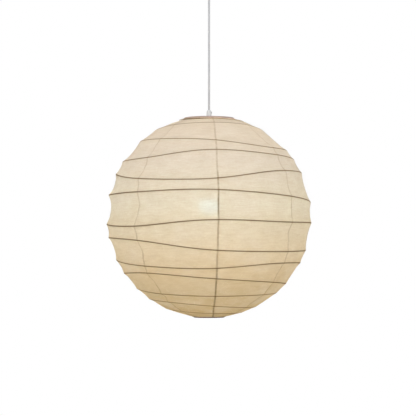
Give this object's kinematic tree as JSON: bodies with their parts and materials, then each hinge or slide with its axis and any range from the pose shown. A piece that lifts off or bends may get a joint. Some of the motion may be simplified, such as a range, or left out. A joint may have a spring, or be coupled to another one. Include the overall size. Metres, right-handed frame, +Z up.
{
  "type": "paper globe pendant lamp shade",
  "caption": "Round ribbed paper lantern shade on a taut white cord, with ceiling rose, spider, lamp holder and bulb; the paper folds up towards its top ring.",
  "frame": {"origin": "middle of the ceiling face of the rose's mounting strap, between its two screw holes", "axes": "+Z up along the cord, +X the lamp's right-hand side seen from the front, front facing -Y"},
  "size_m": [0.6, 0.6, 0.9941],
  "materials": {
    "paper": "matt fibrous washi, warm cream, lit from inside",
    "bamboo": "split bamboo, satin",
    "ring_wire": "coated wire, satin",
    "zinc": "bright zinc plate",
    "white_plastic": "moulded, semi-gloss",
    "terminal_plastic": "moulded, matt",
    "cord_sheath": "smooth white sheath",
    "conductor_insulation": "coloured insulation",
    "brass": "bare",
    "ceramic": "unglazed",
    "opal_plastic": "opal diffuser, glowing",
    "cap_metal": "nickel-plated",
    "black_insulator": "vitrite black",
    "board": "white circuit board",
    "led_yellow": "phosphor-coated chips"
  },
  "bodies": {
    "ceiling_rose": {"mounting_strap": "zinc", "rose_cup": "white_plastic", "rose_screws": "zinc", "terminal_block": "terminal_plastic", "terminal_screws": "brass", "rose_cord_grip": "white_plastic", "rose_grip_screw": "zinc", "rose_nipple": "zinc", "rose_nut": "zinc", "cord_tail": "cord_sheath", "cord_conductors": "conductor_insulation"},
    "hanging_cord": {"cord": "cord_sheath"},
    "globe": {"globe_cord_grip": "white_plastic", "globe_grip_screw": "zinc", "globe_nipple": "zinc", "globe_nut": "zinc", "inner_cord": "cord_sheath", "spider_hub": "ring_wire", "spider_arms": "ring_wire", "top_ring": "ring_wire", "holder_cap": "white_plastic", "holder_body": "white_plastic", "holder_insert": "ceramic", "holder_contact_shell": "brass", "holder_tongue": "brass", "paper_gore_1": "paper", "paper_gore_2": "paper", "paper_gore_3": "paper", "paper_gore_4": "paper", "paper_gore_5": "paper", "paper_gore_6": "paper", "paper_gore_7": "paper", "paper_gore_8": "paper", "rib_01": "bamboo", "rib_02": "bamboo", "rib_03": "bamboo", "rib_04": "bamboo", "rib_05": "bamboo", "rib_06": "bamboo", "rib_07": "bamboo", "rib_08": "bamboo", "rib_09": "bamboo", "rib_10": "bamboo", "rib_11": "bamboo", "rib_12": "bamboo", "rib_13": "bamboo"},
    "lower_ring": {"bottom_ring": "ring_wire"},
    "lock_ring": {"holder_lock_ring": "white_plastic"},
    "bulb": {"bulb_globe": "opal_plastic", "bulb_housing": "white_plastic", "bulb_screw_shell": "cap_metal", "bulb_insulator": "black_insulator", "bulb_tip_contact": "brass", "led_board": "board", "led_chips": "led_yellow", "bulb_driver": "board"}
  },
  "joints": [
    {"name": "cord_swing", "type": "hinge", "parent": "ceiling_rose", "child": "hanging_cord", "pos_m": [0, 0, -0.052], "axis": [0, 1, 0], "range_deg": [-15, 15]},
    {"name": "globe_swing", "type": "hinge", "parent": "hanging_cord", "child": "globe", "pos_m": [0, 0, -0.38797], "axis": [1, 0, 0], "range_deg": [-12, 12]},
    {"name": "shade_collapse", "type": "slide", "parent": "globe", "child": "lower_ring", "axis": [0, 0, 1], "range_m": [0, 0.52], "deforming": ["paper_gore_1", "paper_gore_2", "paper_gore_3", "paper_gore_4", "paper_gore_5", "paper_gore_6", "paper_gore_7", "paper_gore_8", "rib_01", "rib_02", "rib_03", "rib_04", "rib_05", "rib_06", "rib_07", "rib_08", "rib_09", "rib_10", "rib_11", "rib_12", "rib_13"]},
    {"name": "lock_ring_turn", "type": "hinge", "parent": "globe", "child": "lock_ring", "pos_m": [0, 0, -0.604], "axis": [0, 0, 1], "range_deg": [-1080, 0]},
    {"name": "bulb_turn", "type": "hinge", "parent": "globe", "child": "bulb", "pos_m": [0, 0, -0.61], "axis": [0, 0, 1], "range_deg": [-1440, 0]}
  ]
}
